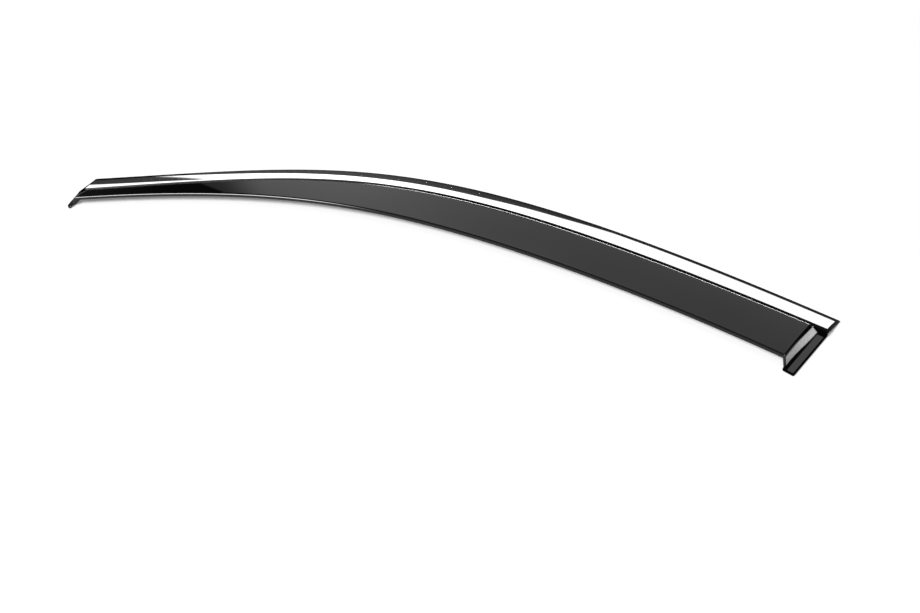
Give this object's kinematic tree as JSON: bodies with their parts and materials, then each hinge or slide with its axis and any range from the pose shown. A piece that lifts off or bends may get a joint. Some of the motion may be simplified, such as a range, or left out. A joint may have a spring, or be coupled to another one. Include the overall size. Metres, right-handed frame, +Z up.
{
  "type": "window rain deflector",
  "caption": "Long curved stick-on rain deflector for a front door window: gloss black panel with a turned-down lip, end feet and a bright trim strip along its bonding flange.",
  "frame": {"origin": "centre of the bounding box in plan, on the ground it lies on", "axes": "+X along the part from its narrow front end to its broad rear end, +Y towards the trimmed far edge, +Z up out of the outer face"},
  "size_m": [0.9718, 0.1996, 0.0208],
  "materials": {
    "black_gloss": "deep polished black acrylic",
    "bright_steel": "mirror polished stainless strip",
    "foam_tape": "matt black foam tape"
  },
  "bodies": {
    "root": {"visor": "black_gloss", "bright_trim": "bright_steel", "flange_tape": "foam_tape", "rear_pad_tape": "foam_tape"}
  },
  "joints": []
}
